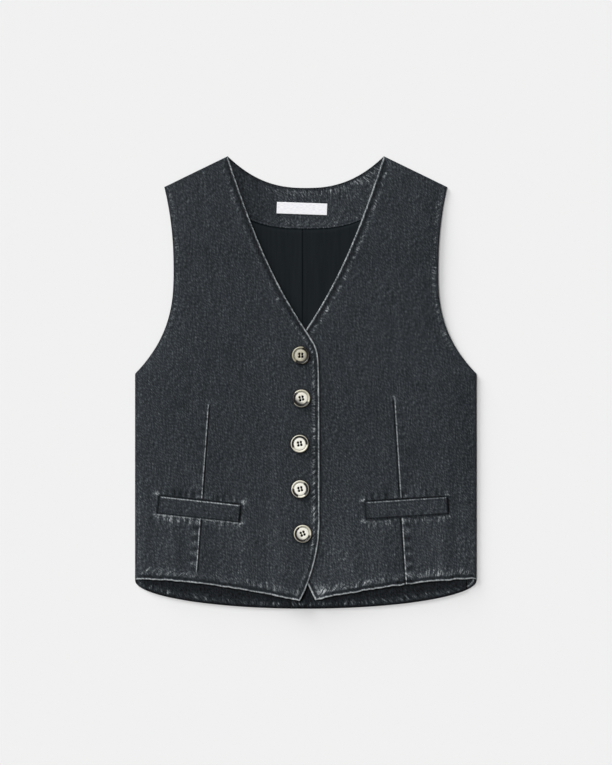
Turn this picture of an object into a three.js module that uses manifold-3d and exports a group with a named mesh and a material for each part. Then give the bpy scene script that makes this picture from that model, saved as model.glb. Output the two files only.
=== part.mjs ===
// A woman's denim vest, laid flat on its back: two fronts that button over each other,
// a plain back, denim facings at the back neck and back hem, and a lining between them.
// Millimetres. X runs across the vest, Y from its hem to its shoulders and Z up from the
// surface that it lies on. The origin is under the middle of the whole outline.
// "Out" is the distance from the centre line towards a front's own side seam.
import * as THREE from "three";
import { mergeVertices } from "three/addons/utils/BufferGeometryUtils.js";
import Module from "manifold-3d";

const wasm = await Module();
wasm.setup();

// The outline, as cut and laid
const HALF_WIDTH = 213.5;
const NECK_POINT = { out: 97.5, y: 283 };
const SHOULDER_TIP = { out: 177, y: 244.5 };
const BACK_NECK_Y = 243.5;
const UNDERARM_Y = 11;
const ARMHOLE_NARROW = { out: 165.3, y: 140 };
const FRONT_SIDE_HEM_Y = -246;
const FRONT_HEM_DROP = 28.5;
const FRONT_HEM_CURVE_OUT = 205;
const BACK_SIDE_HEM_Y = -247.5;
const BACK_HEM_DROP = 35.5;
const V_CROSSING = { out: 0.6, y: 68 };
const V_CORNER_SOFTNESS = 8.8;
const CUTAWAY_Y = -175; // the fronts' edges run straight down to here, then curve back

// Cloth thicknesses, and the gap between pieces that lie on each other or meet at a seam
const BACK_CLOTH = 1.5;
const FRONT_CLOTH = 1.8;
const FACING_CLOTH = 1.2;
const LINING_CLOTH = 1.0;
const WELT_CLOTH = 1.5;
const LABEL_CLOTH = 1.0;
const GAP = 0.3;

// How the layers stand when the vest lies on its back
const EDGE_LIFT = 1.0; // the back's side edges curl up to the side seams
const EDGE_CURL = 10; // over this width
const SIDE_ROUNDING = 70; // the fronts climb from the side seams over this width
const SHOULDER_ROUNDING = 85;
const ARMHOLE_GAPE = 2.0;
const OVERLAP_RISE = FRONT_CLOTH + 0.4; // the right front's climb over the left
const OVERLAP_EDGES = { out: 22, fadeOut: 60, y: 95, fadeY: 150 };
// How far the fronts' undersides rise above their seams, at heights up the garment
const FRONT_RISE = [
  { y: -285, rise: 6.6 },
  { y: -150, rise: 6.0 },
  { y: 0, rise: 6.6 },
  { y: 90, rise: 6.0 },
  { y: 160, rise: 5.0 },
  { y: 220, rise: 3.4 },
  { y: 285, rise: 1.4 },
];

// The two fronts. The wearer's right front has the buttonholes and lies over the left.
// "way" is the side of X that a front lies on, and "reach" is how far its straight edge
// passes the centre line. A dart runs up from the hem to its apex, and its line is carried
// on to the shoulder to guide the rows of points.
const FRONTS = {
  right: {
    way: -1,
    over: true,
    reach: 17.2,
    tipOut: 7.5,
    cutawayPower: 2,
    dartApexY: -27,
    dartLine: [
      { y: -275, out: 138.5 },
      { y: -27, out: 120.7 },
      { y: 100, out: 113 },
      { y: 265, out: 137 },
    ],
    welt: { out: 132.9, y: -158, width: 101, height: 21.5, fall: 6.2 },
  },
  left: {
    way: 1,
    over: false,
    reach: 20,
    tipOut: 11.9,
    cutawayPower: 1.4,
    dartApexY: -19.5,
    dartLine: [
      { y: -275, out: 126.5 },
      { y: -19.5, out: 110.4 },
      { y: 100, out: 107 },
      { y: 265, out: 137 },
    ],
    welt: { out: 126.2, y: -156.5, width: 101.5, height: 21.3, fall: 3.6 },
  },
};
const DART = { ridge: 0.5, groove: 0.5, halfWidth: 5, fade: 20, taper: 40 };
const DART_CLEAR_OF_WELT = { from: 20, to: 32 };

// The facings, the lining and the label
const NECK_FACING = { endOut: 135, y: 192.5, curve: 2.8, inset: 0.5, columns: 20 };
const HEM_FACING = { width: 35, inset: 1 };
const INSIDE_MARGIN = 12; // from the back's side edges to the facings and the lining
const LINING_TOP_Y = 205;
const PLEAT = { x: -4, height: 0.8, run: 14, step: 0.5 };
const LABEL = { x: -4.7, y: 217.5, width: 63, height: 14.5, tilt: -2 };

// The buttons, and the buttonholes that they hide
const BUTTONS = [
  { x: -6.1, y: 33.8, turn: 0 },
  { x: -5.4, y: -19.9, turn: 12 },
  { x: -7.6, y: -76.5, turn: 10 },
  { x: -6.9, y: -133.1, turn: 13 },
  { x: -3.8, y: -188.8, turn: 22 },
];
const BUTTON = { radius: 11, thickness: 4, foot: 8.5, rim: 2, dish: 1.3, bevel: 0.8 };
const THREAD_HOLE = { radius: 1, spacing: 3.6 };
const BUTTONHOLE = { length: 18, width: 1.2 };

// Materials
const material = (color, roughness) =>
  new THREE.MeshStandardMaterial({ color, roughness, metalness: 0 });
const BLACK_DENIM = material(0x363a3e, 0.9);
const FACING_DENIM = material(0x34373b, 0.9);
const SATIN_LINING = material(0x1c2225, 0.5);
const LABEL_TAPE = material(0xf0f0f2, 0.7);
const HORN_RESIN = material(0xd6cfbe, 0.35);

// Small helpers
const clamp = (v, low = 0, high = 1) => Math.min(high, Math.max(low, v));
const lerp = (a, b, t) => a + (b - a) * t;
const radians = (degrees) => (degrees * Math.PI) / 180;
const steps = (n) => Array.from({ length: n + 1 }, (_, k) => k / n);

function smoothstep(from, to, v) {
  const t = clamp((v - from) / (to - from));
  return t * t * (3 - 2 * t);
}

// The smaller of two values, with the corner between them rounded.
function softMin(a, b, softness) {
  return (a + b - Math.hypot(a - b, softness)) / 2;
}

// Reads a column of a table at height y, between the rows on either side of it.
function atHeight(table, column, y, ease = (t) => t) {
  const above = table.findIndex((row) => row.y >= y);
  if (above === 0) return table[0][column];
  if (above < 0) return table[table.length - 1][column];
  const [low, high] = [table[above - 1], table[above]];
  return lerp(low[column], high[column], ease((y - low.y) / (high.y - low.y)));
}

// A rounded climb from 0 at an edge to 1 on the flat.
const climb = (share) => 1 - (1 - clamp(share)) ** 3;

// The outline's curves

// Side seam and armhole: straight up to the underarm, in to the armhole's narrowest
// place, and out again to the shoulder tip.
function sideOut(y) {
  const narrow = ARMHOLE_NARROW;
  if (y <= UNDERARM_Y) return HALF_WIDTH;
  if (y <= narrow.y) {
    const left = (narrow.y - y) / (narrow.y - UNDERARM_Y);
    return lerp(narrow.out, HALF_WIDTH, left ** 2.6);
  }
  const up = clamp((y - narrow.y) / (SHOULDER_TIP.y - narrow.y));
  return lerp(narrow.out, SHOULDER_TIP.out, up ** 2.2);
}

const SHOULDER_SLOPE =
  (NECK_POINT.y - SHOULDER_TIP.y) / (SHOULDER_TIP.out - NECK_POINT.out);
const shoulderY = (out) => NECK_POINT.y - SHOULDER_SLOPE * (out - NECK_POINT.out);

// How far a point lies inside the shoulder seam, square to it.
const belowShoulder = (out, y) =>
  (shoulderY(out) - y) / Math.hypot(1, SHOULDER_SLOPE);

function backNeckY(x) {
  const share = clamp(Math.abs(x) / NECK_POINT.out);
  return lerp(BACK_NECK_Y, NECK_POINT.y, share ** 2.4);
}

function backHemY(x) {
  const share = clamp(Math.abs(x) / HALF_WIDTH);
  return BACK_SIDE_HEM_Y - BACK_HEM_DROP * Math.sqrt(1 - share * share);
}

function frontHemY(out) {
  const share = clamp(1 - Math.abs(out) / FRONT_HEM_CURVE_OUT);
  return FRONT_SIDE_HEM_Y - FRONT_HEM_DROP * share ** 1.6;
}

// A front's inner edge: from the tip up the curved cutaway, the straight edge and the V.
function innerOut(front, y) {
  const down = (NECK_POINT.y - y) / (NECK_POINT.y - V_CROSSING.y);
  const bowed = 0.75 * down + 0.25 * Math.max(0, down) ** 3.1;
  const vEdge = lerp(NECK_POINT.out, V_CROSSING.out, bowed);
  const edge = -softMin(-vEdge, front.reach, V_CORNER_SOFTNESS);
  const low = Math.max(0, CUTAWAY_Y - y) / (CUTAWAY_Y - frontHemY(front.tipOut));
  return edge + (front.reach + front.tipOut) * low ** front.cutawayPower;
}

// How high the layers lie

// The back's curl up to the side seams dies away towards the shoulders.
const sideLift = (y) => EDGE_LIFT * smoothstep(240, 190, y);

function backUnderside(x, y) {
  const fromSide = sideOut(y) - Math.abs(x);
  return sideLift(y) * clamp(1 - fromSide / EDGE_CURL) ** 2;
}

const ON_BACK = BACK_CLOTH + GAP;
const ON_FACING = ON_BACK + FACING_CLOTH + GAP;

function frontUnderside(front, out, y) {
  const fromSide = climb((sideOut(y) - out) / SIDE_ROUNDING);
  const fromShoulder = climb(belowShoulder(out, y) / SHOULDER_ROUNDING);
  const onFacing = smoothstep(170, 150, out) * smoothstep(140, 180, y);
  const seam = lerp(ON_BACK, ON_FACING, onFacing) + sideLift(y);
  const upArmhole = clamp((y - UNDERARM_Y) / (SHOULDER_TIP.y - UNDERARM_Y));
  const gape = ARMHOLE_GAPE * Math.sin(Math.PI * upArmhole) * (1 - fromSide);
  const rise = atHeight(FRONT_RISE, "rise", y, (t) => smoothstep(0, 1, t));
  const { out: flatOut, fadeOut, y: flatY, fadeY } = OVERLAP_EDGES;
  const overlap =
    OVERLAP_RISE * smoothstep(fadeOut, flatOut, out) * smoothstep(fadeY, flatY, y);
  return seam + gape + rise * fromSide * fromShoulder + (front.over ? overlap : 0);
}

// A dart's two pressed sides stand up beside its stitch line, clear of the welt.
function dartRelief(front, out, y) {
  const off = Math.abs(out - atHeight(front.dartLine, "out", y));
  const { from, to } = DART_CLEAR_OF_WELT;
  const strength =
    smoothstep(front.dartApexY, front.dartApexY - DART.taper, y) *
    smoothstep(from, to, Math.abs(y - front.welt.y));
  const near = off / DART.halfWidth;
  const profile =
    near < 1
      ? lerp(-DART.groove, DART.ridge, near)
      : DART.ridge * clamp(1 - (off - DART.halfWidth) / DART.fade);
  return strength * profile;
}

const frontTop = (front, out, y) => frontUnderside(front, out, y) + FRONT_CLOTH;

// Walls of cloth

// A wall over one or more grids of plan points. Grids that share points are joined there.
// The wall stands from underside(x, y) up by its thickness, plus relief(x, y) on top.
function wall(grids, underside, thickness, relief = () => 0) {
  const points = [];
  const known = new Map();
  const indexOf = ([x, y]) => {
    const key = `${x.toFixed(3)} ${y.toFixed(3)}`;
    if (!known.has(key)) known.set(key, points.push([x, y]) - 1);
    return known.get(key);
  };
  const triangles = grids.flatMap((rows) => planTriangles(rows, indexOf));
  const count = points.length;
  const index = [];
  const edges = new Set();
  for (const [a, b, c] of triangles) {
    if (a === b || b === c || c === a) continue;
    index.push(a + count, b + count, c + count, a, c, b);
    for (const edge of [`${a} ${b}`, `${b} ${c}`, `${c} ${a}`]) edges.add(edge);
  }
  for (const edge of edges) {
    const [a, b] = edge.split(" ").map(Number);
    if (edges.has(`${b} ${a}`)) continue;
    index.push(a, b, b + count, a, b + count, a + count);
  }
  const bottom = points.map(([x, y]) => [x, y, underside(x, y)]);
  const top = bottom.map(([x, y, z]) => [x, y, z + thickness + relief(x, y)]);
  const position = new Float32Array([...bottom, ...top].flat());
  return new THREE.BufferGeometry()
    .setAttribute("position", new THREE.BufferAttribute(position, 3))
    .setIndex(index);
}

// Two triangles for each cell of a grid, anticlockwise seen from above.
function planTriangles(rows, indexOf) {
  const found = [];
  for (let i = 0; i + 1 < rows.length; i++) {
    for (let j = 0; j + 1 < rows[i].length; j++) {
      const corners = [rows[i][j], rows[i][j + 1], rows[i + 1][j + 1], rows[i + 1][j]];
      const [a, b, c, d] = corners.map(indexOf);
      const mirrored = crossProduct(...corners.slice(0, 3)) < 0;
      found.push(...(mirrored ? [[a, c, b], [a, d, c]] : [[a, b, c], [a, c, d]]));
    }
  }
  return found;
}

const crossProduct = ([ax, ay], [bx, by], [cx, cy]) =>
  (bx - ax) * (cy - ay) - (by - ay) * (cx - ax);

// The heights at which rows start, on the inner edge and on the side, from a table of
// bands that each end at a height and hold a number of rows.
function rowHeights(start, bands) {
  const rows = [start];
  for (const band of bands) {
    const from = rows[rows.length - 1];
    for (const t of steps(band.rows).slice(1)) {
      rows.push({
        inner: lerp(from.inner, band.inner, t),
        side: lerp(from.side, band.side, t),
      });
    }
  }
  return rows;
}

// The back
const BACK_COLUMNS = [0, 0.17, 0.34, 0.5, 0.64, 0.76, 0.86, 0.93, 0.953, 0.977, 1];
const BACK_BANDS = [
  { inner: -200, side: -200, rows: 5 },
  { inner: 5, side: 5, rows: 9 },
  { inner: 70, side: 40, rows: 6 },
  { inner: BACK_NECK_Y, side: 150, rows: 7 },
];
const BACK_NECK_ROWS = 8;
const HEM_FADE_Y = -150; // the rows take up the hem's curve below this height

// Half of the back, from the centre line and the neck edge out to the side.
function backHalf(way) {
  const start = { inner: backHemY(0), side: BACK_SIDE_HEM_Y };
  const body = rowHeights(start, BACK_BANDS).map(({ inner, side }) => ({
    from: [0, inner],
    to: [sideOut(side), side],
  }));
  const straps = steps(BACK_NECK_ROWS)
    .slice(1)
    .map((t) => {
      const x = NECK_POINT.out * t;
      const side = lerp(150, SHOULDER_TIP.y, t);
      return { from: [x, backNeckY(x)], to: [sideOut(side), side] };
    });
  return [...body, ...straps].map(({ from, to }) => {
    const fade = clamp((HEM_FADE_Y - to[1]) / (HEM_FADE_Y - BACK_SIDE_HEM_Y)) ** 2;
    return BACK_COLUMNS.map((share) => {
      const x = lerp(from[0], to[0], share);
      const straight = lerp(start.inner, start.side, share);
      const bow = fade * (backHemY(x) - straight);
      return [way * x, lerp(from[1], to[1], share) + bow];
    });
  });
}

function makeBack() {
  return wall([backHalf(-1), backHalf(1)], backUnderside, BACK_CLOTH);
}

// The fronts
const FRONT_BANDS = [
  { inner: CUTAWAY_Y, side: CUTAWAY_Y, rows: 7 },
  { inner: 5, side: 5, rows: 11 },
  { inner: 75, side: 40, rows: 7 },
  { inner: NECK_POINT.y, side: SHOULDER_TIP.y, rows: 15 },
];
const EDGE_TO_DART = [0, 0.2, 0.4, 0.6, 0.8, 1];
const DART_TO_SIDE = [0, 0.25, 0.5, 0.7, 0.85, 0.94, 1];

function frontGrid(front) {
  const start = { inner: frontHemY(front.tipOut), side: FRONT_SIDE_HEM_Y };
  return rowHeights(start, FRONT_BANDS).map(({ inner, side }) => {
    const from = { out: innerOut(front, inner), y: inner };
    const to = { out: sideOut(side), y: side };
    const rowY = (out) => lerp(from.y, to.y, (out - from.out) / (to.out - from.out));
    let dart = front.dartLine[0].out;
    for (let pass = 0; pass < 3; pass++) {
      dart = atHeight(front.dartLine, "out", rowY(dart));
    }
    const outs = [
      ...EDGE_TO_DART.map((t) => lerp(from.out, dart - DART.halfWidth, t)),
      dart,
      ...DART_TO_SIDE.map((t) => lerp(dart + DART.halfWidth, to.out, t)),
    ];
    const fade = clamp((HEM_FADE_Y - side) / (HEM_FADE_Y - FRONT_SIDE_HEM_Y)) ** 2;
    return outs.map((out) => {
      const across = (out - from.out) / (to.out - from.out);
      const straight = lerp(start.inner, start.side, across);
      const bow = fade * (frontHemY(out) - straight);
      return [front.way * out, rowY(out) + bow];
    });
  });
}

function makeFront(front) {
  return wall(
    [frontGrid(front)],
    (x, y) => frontUnderside(front, front.way * x, y),
    FRONT_CLOTH,
    (x, y) => dartRelief(front, front.way * x, y),
  );
}

// A welt lies on its front, over the dart and across the pocket's mouth.
function makeWelt(front) {
  const { out, y, width, height, fall } = front.welt;
  const turn = radians(fall);
  const grid = steps(3).map((up) =>
    steps(10).map((along) => {
      const [a, b] = [(along - 0.5) * width, (up - 0.5) * height];
      const placeOut = out + a * Math.cos(turn) - b * Math.sin(turn);
      const placeY = y + a * Math.sin(turn) + b * Math.cos(turn);
      return [front.way * placeOut, placeY];
    }),
  );
  const underside = (x, yy) => frontTop(front, front.way * x, yy) + GAP;
  return wall([grid], underside, WELT_CLOTH);
}

// The facings and the lining lie on the inside of the back
const facingLowerY = (x) =>
  lerp(
    NECK_FACING.y,
    shoulderY(NECK_FACING.endOut),
    (Math.abs(x) / NECK_FACING.endOut) ** NECK_FACING.curve,
  );

function makeNeckFacing() {
  const grid = steps(4).map((down) =>
    steps(NECK_FACING.columns).map((along) => {
      const share = 2 * along - 1;
      const upperX = NECK_POINT.out * share;
      const lowerX = NECK_FACING.endOut * share;
      const upperY = backNeckY(upperX) - NECK_FACING.inset;
      return [lerp(upperX, lowerX, down), lerp(upperY, facingLowerY(lowerX), down)];
    }),
  );
  return wall([grid], () => ON_BACK, FACING_CLOTH);
}

const hemFacingUpperY = (x) => backHemY(x) + HEM_FACING.inset + HEM_FACING.width;

// The columns that the hem facing and the lining share, out to half their width: those
// under the neck facing's own points, the pleat's, and some more on each side.
function insideColumns(half) {
  const { x: foldX, step, run } = PLEAT;
  const spacing = (2 * NECK_FACING.endOut) / NECK_FACING.columns;
  const middle = steps(12).map((t) => lerp(-6 * spacing, 6 * spacing, t));
  const side = steps(5).slice(1).map((t) => lerp(6 * spacing, half, t));
  const pleat = [foldX - run, foldX, foldX + step, foldX + run];
  return [...side.map((x) => -x), ...middle, ...side, ...pleat].sort((a, b) => a - b);
}

function makeHemFacing() {
  const grid = steps(2).map((up) =>
    insideColumns(HALF_WIDTH - INSIDE_MARGIN).map((x) => {
      const lower = backHemY(x) + HEM_FACING.inset;
      return [x, lerp(lower, hemFacingUpperY(x), up)];
    }),
  );
  return wall([grid], () => ON_BACK, FACING_CLOTH);
}

// The lining has one knife pleat down its middle, for ease across the back.
function makeLining() {
  const lowest = hemFacingUpperY(HALF_WIDTH - INSIDE_MARGIN);
  const grid = steps(12).map((up) => {
    const half = sideOut(lerp(lowest, LINING_TOP_Y, up)) - INSIDE_MARGIN;
    return insideColumns(half).map((x) => {
      const top = Math.min(facingLowerY(x) - GAP, LINING_TOP_Y);
      return [x, lerp(hemFacingUpperY(x) + GAP, top, up)];
    });
  });
  const { x: foldX, run, height } = PLEAT;
  const pleat = (x) => (x > foldX ? 0 : height * clamp(1 - (foldX - x) / run));
  return wall([grid], () => ON_BACK, LINING_CLOTH, pleat);
}

function makeLabel() {
  const turn = radians(LABEL.tilt);
  const grid = [-0.5, 0.5].map((up) =>
    [-0.5, 0.5].map((along) => {
      const [a, b] = [along * LABEL.width, up * LABEL.height];
      return [
        LABEL.x + a * Math.cos(turn) - b * Math.sin(turn),
        LABEL.y + a * Math.sin(turn) + b * Math.cos(turn),
      ];
    }),
  );
  return wall([grid], () => ON_FACING, LABEL_CLOTH);
}

// Buttons and buttonholes

// A closed geometry as a solid that can be joined and cut.
function solid(geometry) {
  const bare = geometry.clone();
  bare.deleteAttribute("normal");
  bare.deleteAttribute("uv");
  const merged = mergeVertices(bare, 1e-3);
  const vertProperties = merged.attributes.position.array;
  const triVerts = new Uint32Array(merged.index.array);
  return new wasm.Manifold(new wasm.Mesh({ numProp: 3, vertProperties, triVerts }));
}

function geometryOf(manifold) {
  const { vertProperties, triVerts } = manifold.getMesh();
  return new THREE.BufferGeometry()
    .setAttribute("position", new THREE.BufferAttribute(vertProperties, 3))
    .setIndex([...triVerts]);
}

// A turned button: a rounded foot, a raised rim round a shallow dish, and four holes.
function makeButton() {
  const { radius, thickness, foot, rim, dish, bevel } = BUTTON;
  const profile = [
    [0, 0],
    [foot, 0],
    [radius, 1.4],
    [radius, thickness - bevel],
    [radius - bevel, thickness],
    [radius - rim, thickness],
    [radius - rim - 0.8, thickness - dish],
    [0, thickness - dish],
  ].map(([r, z]) => new THREE.Vector2(r, z));
  let disc = solid(new THREE.LatheGeometry(profile, 28).rotateX(Math.PI / 2));
  for (const way of [-1, 1]) {
    for (const up of [-1, 1]) {
      const hole = new THREE.CylinderGeometry(THREAD_HOLE.radius, THREAD_HOLE.radius, 12, 8)
        .rotateX(Math.PI / 2)
        .translate((way * THREAD_HOLE.spacing) / 2, (up * THREAD_HOLE.spacing) / 2, 0);
      disc = disc.subtract(solid(hole));
    }
  }
  return geometryOf(disc);
}

// The height that a button rests at: the highest place of the front under its foot.
function buttonSeat({ x, y }) {
  const around = steps(12).map((t) => 2 * Math.PI * t);
  const heights = around.map((angle) =>
    frontTop(
      FRONTS.right,
      -(x + BUTTON.radius * Math.cos(angle)),
      y + BUTTON.radius * Math.sin(angle),
    ),
  );
  return Math.max(...heights) + GAP;
}

// Cuts the buttonholes, each a slit that ends just past its button's stem.
function cutButtonholes(geometry) {
  let cloth = solid(geometry);
  for (const { x, y } of BUTTONS) {
    const { length, width } = BUTTONHOLE;
    const slit = new THREE.BoxGeometry(length, width, 60).translate(x, y, 0);
    cloth = cloth.subtract(solid(slit));
  }
  return geometryOf(cloth);
}

// The vest
const vest = new THREE.Group();

function add(name, geometry, finish) {
  const mesh = new THREE.Mesh(geometry, finish);
  mesh.name = name;
  vest.add(mesh);
  return mesh;
}

add("back", makeBack(), BLACK_DENIM);
add("back_hem_facing", makeHemFacing(), FACING_DENIM);
add("back_lining", makeLining(), SATIN_LINING);
add("back_neck_facing", makeNeckFacing(), FACING_DENIM);
add("label", makeLabel(), LABEL_TAPE);
add("front_left", makeFront(FRONTS.left), BLACK_DENIM);
add("front_right", cutButtonholes(makeFront(FRONTS.right)), BLACK_DENIM);
add("welt_left", makeWelt(FRONTS.left), BLACK_DENIM);
add("welt_right", makeWelt(FRONTS.right), BLACK_DENIM);
BUTTONS.forEach((button, k) => {
  const mesh = add(`button_${k + 1}`, makeButton(), HORN_RESIN);
  mesh.position.set(button.x, button.y, buttonSeat(button));
  mesh.rotation.z = radians(button.turn);
});

export default vest;
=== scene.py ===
"""A woman's washed black denim vest, laid flat on its back with its fronts buttoned.

The pieces follow one another as the vest is put together: the back, what is sewn to its
inside, the two fronts, their welts, the buttonholes, the buttons and their thread.
Sizes are in millimetres until a mesh is made. X runs towards the wearer's left, Y from the
hem to the shoulders and Z up from the surface. "Out" is the distance from the centre line.
"""

import math

import bpy
import numpy as np
from bpy.types import NodeSocket
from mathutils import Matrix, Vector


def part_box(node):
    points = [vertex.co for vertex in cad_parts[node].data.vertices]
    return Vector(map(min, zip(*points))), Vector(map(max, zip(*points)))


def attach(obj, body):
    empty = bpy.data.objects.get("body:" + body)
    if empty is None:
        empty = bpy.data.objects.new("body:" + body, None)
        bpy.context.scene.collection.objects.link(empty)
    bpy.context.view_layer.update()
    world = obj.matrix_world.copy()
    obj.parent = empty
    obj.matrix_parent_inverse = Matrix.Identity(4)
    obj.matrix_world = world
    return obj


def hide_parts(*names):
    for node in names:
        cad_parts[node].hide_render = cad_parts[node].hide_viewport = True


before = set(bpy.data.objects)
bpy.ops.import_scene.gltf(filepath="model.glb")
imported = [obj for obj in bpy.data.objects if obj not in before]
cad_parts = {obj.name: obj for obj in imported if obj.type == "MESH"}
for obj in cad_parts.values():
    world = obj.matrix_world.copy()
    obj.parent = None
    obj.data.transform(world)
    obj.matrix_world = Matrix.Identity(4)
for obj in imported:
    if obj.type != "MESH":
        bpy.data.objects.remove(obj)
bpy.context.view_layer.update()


# The back panel
# One piece of 12 oz cotton twill, cut with two shoulders, two armholes and a hem that dips
# below the fronts. Its edges are turned in and sewn, so each is a soft fold.

BACK_CLOTH = 1.5
HALF_WIDTH = 213.5
NECK_POINT_OUT, NECK_POINT_Y = 97.5, 283.0
SHOULDER_TIP_OUT, SHOULDER_TIP_Y = 177.0, 244.5
ARMHOLE_NARROW_OUT, ARMHOLE_NARROW_Y = 165.3, 140.0
UNDERARM_Y = 11.0
BACK_NECK_Y = 243.5
BACK_SIDE_HEM_Y, BACK_HEM_DROP = -247.5, 35.5
SIDE_CURL, SIDE_CURL_WIDTH = 1.0, 10.0
# The rows of points bend with the hem below this height, and lie straight above it.
HEM_FADE_Y = -150.0
# Painted shade: how much darker the inside of the hem is drawn, as it lies in the fronts' shade.
# The inside of the hem starts below this height.
PAINTED_HEM_SHADE, INSIDE_HEM_Y = 0.15, -243.0
# The hem's fold is bleached at both ends from this far out, and more on the left.
HEM_END_OUT, BLEACHED_RIGHT, BLEACHED_LEFT = 192.0, 0.4, 0.7
# How far in from an edge the closest rows of points lie, so that its fold is round.
FOLD_STEPS = np.array([0, 0.15, 0.45, 0.9, 1.4, 2.0, 2.8])
# A seam puckers about every 7.5 mm. Each edge of a piece takes its own stretch of the waves.
PUCKER_SPACING, EDGE_SHIFT = 7.5, 97


def lerp(a, b, t):
    return a + (b - a) * t


def smoothstep(low, high, value):
    t = np.clip((value - low) / (high - low), 0, 1)
    return t * t * (3 - 2 * t)


def band(value, start, peak, end):
    """Rises from 0 at start to 1 at peak and falls back to 0 at end."""
    return smoothstep(start, peak, value) * (1 - smoothstep(peak, end, value))


def side_out(y):
    """Side seam and armhole, as a distance from the centre line."""
    left = np.clip((ARMHOLE_NARROW_Y - y) / (ARMHOLE_NARROW_Y - UNDERARM_Y), 0, 1)
    up = np.clip((y - ARMHOLE_NARROW_Y) / (SHOULDER_TIP_Y - ARMHOLE_NARROW_Y), 0, 1)
    below = lerp(ARMHOLE_NARROW_OUT, HALF_WIDTH, left**2.6)
    above = lerp(ARMHOLE_NARROW_OUT, SHOULDER_TIP_OUT, up**2.2)
    return np.where(y < ARMHOLE_NARROW_Y, below, above)


def back_neck_y(x):
    share = np.clip(np.abs(x) / NECK_POINT_OUT, 0, 1)
    return lerp(BACK_NECK_Y, NECK_POINT_Y, share**2.4)


def back_hem_y(x):
    share = np.clip(np.abs(x) / HALF_WIDTH, 0, 1)
    return BACK_SIDE_HEM_Y - BACK_HEM_DROP * np.sqrt(1 - share**2)


def side_lift(y):
    return SIDE_CURL * smoothstep(240, 190, y)


def back_underside(x, y):
    from_side = side_out(y) - np.abs(x)
    return side_lift(y) * np.clip(1 - from_side / SIDE_CURL_WIDTH, 0, 1) ** 2


def wander(along, spacing, seed):
    """A smooth random wave between -1 and 1, with a turn about every spacing."""
    heights = np.random.default_rng(seed).uniform(-1, 1, 400)
    place = np.asarray(along) / spacing + 50
    step = np.floor(place).astype(int)
    return lerp(heights[step], heights[step + 1], smoothstep(0, 1, place - step))


def ridges(along, spacing, seed):
    """Small ridges of uneven width and height, from 0 between them to 1 at the tallest."""
    random = np.random.default_rng(seed)
    knots = np.cumsum(random.uniform(0.3, 0.7, 800)) * spacing - 100
    heights = random.uniform(0.35, 1, 800)
    heights[::2] = random.uniform(0, 0.15, 400)
    return smoothstep(0, 1, np.interp(along, knots, heights))


def beside(points, line):
    """How far points lie from a line of points, and how far along it that is."""
    away = np.full(len(points), np.inf)
    along = np.zeros(len(points))
    passed = 0.0
    for start, end in zip(line[:-1], line[1:]):
        run = end - start
        length = math.hypot(*run)
        if length < 1e-9:
            continue
        offset = points - start
        share = np.clip(offset @ run / length**2, 0, 1)
        distance = np.hypot(*(offset - share[:, None] * run).T)
        nearer = distance < away
        away[nearer] = distance[nearer]
        along[nearer] = passed + share[nearer] * length
        passed += length
    return away, along


def join_grids(grids):
    """Plan points and quads of grids that share points, turned anticlockwise from above."""
    flat = np.concatenate([grid.reshape(-1, 2) for grid in grids])
    keys = np.round(flat, 3) + 0.0
    _, first, joined = np.unique(keys, axis=0, return_index=True, return_inverse=True)
    joined = joined.reshape(-1)
    quads, passed = [], 0
    for grid in grids:
        rows, columns = grid.shape[:2]
        index = joined[passed : passed + rows * columns].reshape(rows, columns)
        passed += rows * columns
        corners = (index[:-1, :-1], index[:-1, 1:], index[1:, 1:], index[1:, :-1])
        quads.append(np.stack(corners, axis=-1).reshape(-1, 4))
    quads = np.concatenate(quads)
    points = flat[first]
    a, b, c, d = (points[quads[:, k]] for k in range(4))
    across, up = c - a, d - b
    mirrored = across[:, 0] * up[:, 1] - across[:, 1] * up[:, 0] < 0
    quads[mirrored] = quads[mirrored][:, ::-1]
    return points, quads


def free_corners(quads, count):
    """Which points are on the edge of a joined grid."""
    starts, ends = quads.reshape(-1), np.roll(quads, -1, axis=1).reshape(-1)
    both_ways = np.isin(starts * count + ends, ends * count + starts)
    free = np.zeros(count, bool)
    free[starts[~both_ways]] = True
    free[ends[~both_ways]] = True
    return free


def set_values(mesh, values):
    """Gives a mesh a number or vector a point for each named value."""
    for key, numbers in values.items():
        numbers = np.asarray(numbers, dtype=np.float32)
        kind, field = ("FLOAT", "value") if numbers.ndim == 1 else ("FLOAT_VECTOR", "vector")
        layer = mesh.attributes.new(key, kind, "POINT")
        layer.data.foreach_set(field, numbers.ravel())


def add_mesh(name, points, faces, finish, values=None):
    """A mesh object from millimetres."""
    mesh = bpy.data.meshes.new(name)
    mesh.from_pydata((np.asarray(points) * 0.001).tolist(), [], faces)
    mesh.shade_smooth()
    set_values(mesh, values or {})
    mesh.materials.append(finish)
    made = bpy.data.objects.new(name, mesh)
    bpy.context.collection.objects.link(made)
    return made


def add_cloth(name, plan, away, underside, thickness, finish, relief=0.0, values=None):
    """A closed sheet of cloth with round folds for edges. away is each point's distance
    from the nearest edge, and relief is what the upper side adds to its height."""
    points, quads = plan
    half = thickness / 2
    free = free_corners(quads, len(points))
    inside = np.clip(np.where(free, 0, away) / half, 0, 1)
    swell = half * np.sqrt(1 - (1 - inside) ** 2)
    middle = underside + half
    top = middle + swell + relief * np.where(free, 0.5, 1)
    bottom = middle - swell
    lower = np.where(free, np.arange(len(points)), len(points) + np.cumsum(~free) - 1)
    upper_points = np.column_stack([points, top])
    lower_points = np.column_stack([points, bottom])[~free]
    faces = quads.tolist() + lower[quads[:, ::-1]].tolist()
    doubled = {key: np.concatenate([v, v[~free]]) for key, v in (values or {}).items()}
    both = np.concatenate([upper_points, lower_points])
    return add_mesh(name, both, faces, finish, doubled)


def sewn_sheet(piece, node):
    """Puts a piece of cloth in place of its solid."""
    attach(piece, "root")
    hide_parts(node)


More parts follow.
